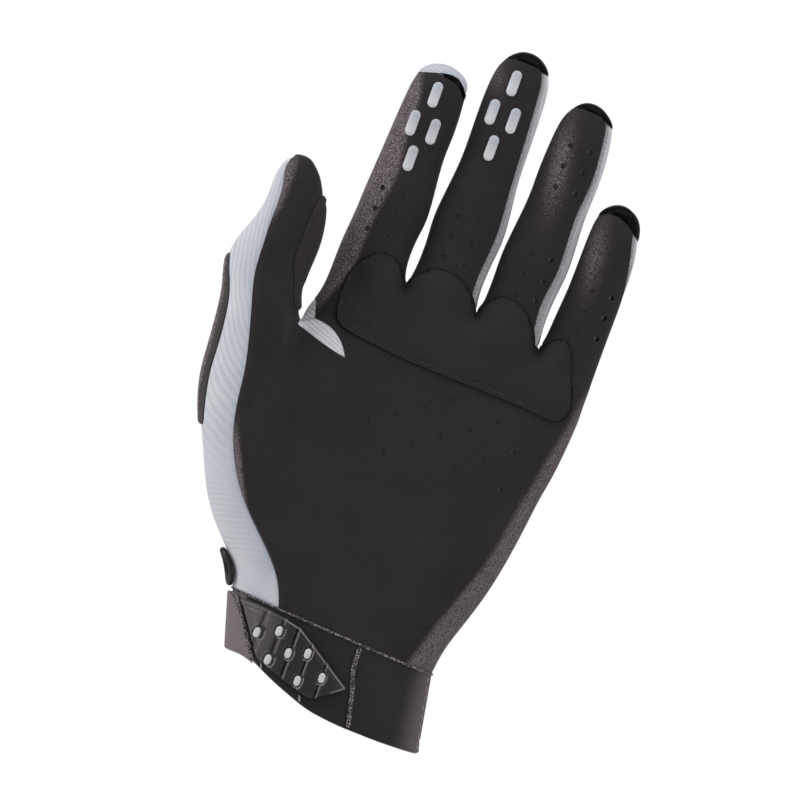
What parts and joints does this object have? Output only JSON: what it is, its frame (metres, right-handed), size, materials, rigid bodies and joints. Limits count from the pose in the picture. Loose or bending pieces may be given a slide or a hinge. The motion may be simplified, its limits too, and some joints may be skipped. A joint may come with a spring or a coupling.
{
  "type": "motocross glove",
  "caption": "Left motocross glove, filled out as worn: black suede palm, grey ribbed back, grip pads on the fingertips, short cuff with a strap tab.",
  "frame": {"origin": "middle of the cuff mouth, where the wrist goes in", "axes": "+Z from the cuff to the fingertips, -Y the way the palm faces, +X towards the little finger"},
  "size_m": [0.1245, 0.0498, 0.2254],
  "materials": {
    "suede": "matt brushed microsuede, black, with a faint brown sheen at its edges",
    "ribbed_cloth": "matt stretch cloth with fine ribs, light grey",
    "grip_silicone": "satin silicone, light grey",
    "tab_inlay": "satin rubber, light grey",
    "gloss_rubber": "glossy, black",
    "matt_rubber": "moulded satin, black",
    "neoprene": "matt knit-faced neoprene, black"
  },
  "bodies": {
    "root": {"palm_panel": "suede", "palm_overlay": "suede", "thumb_inner_overlay": "suede", "thumb_back_overlay": "suede", "back_panel": "ribbed_cloth", "thumb_gusset": "ribbed_cloth", "index_grip_1": "grip_silicone", "index_grip_2": "grip_silicone", "index_grip_3": "grip_silicone", "index_grip_4": "grip_silicone", "middle_grip_1": "grip_silicone", "middle_grip_2": "grip_silicone", "middle_grip_3": "grip_silicone", "middle_grip_4": "grip_silicone", "tab_pill_1": "tab_inlay", "tab_pill_2": "tab_inlay", "tab_pill_3": "tab_inlay", "tab_pill_4": "tab_inlay", "tab_pill_5": "tab_inlay", "tab_pill_6": "tab_inlay", "tab_pill_7": "tab_inlay", "index_tip": "gloss_rubber", "middle_tip": "gloss_rubber", "ring_tip": "gloss_rubber", "little_tip": "gloss_rubber", "side_ring": "matt_rubber", "strap_tab": "matt_rubber", "cuff_band": "neoprene", "wrist_piping": "neoprene", "cuff_piping": "neoprene", "strap_band": "neoprene", "strap_piping": "neoprene"}
  },
  "joints": []
}
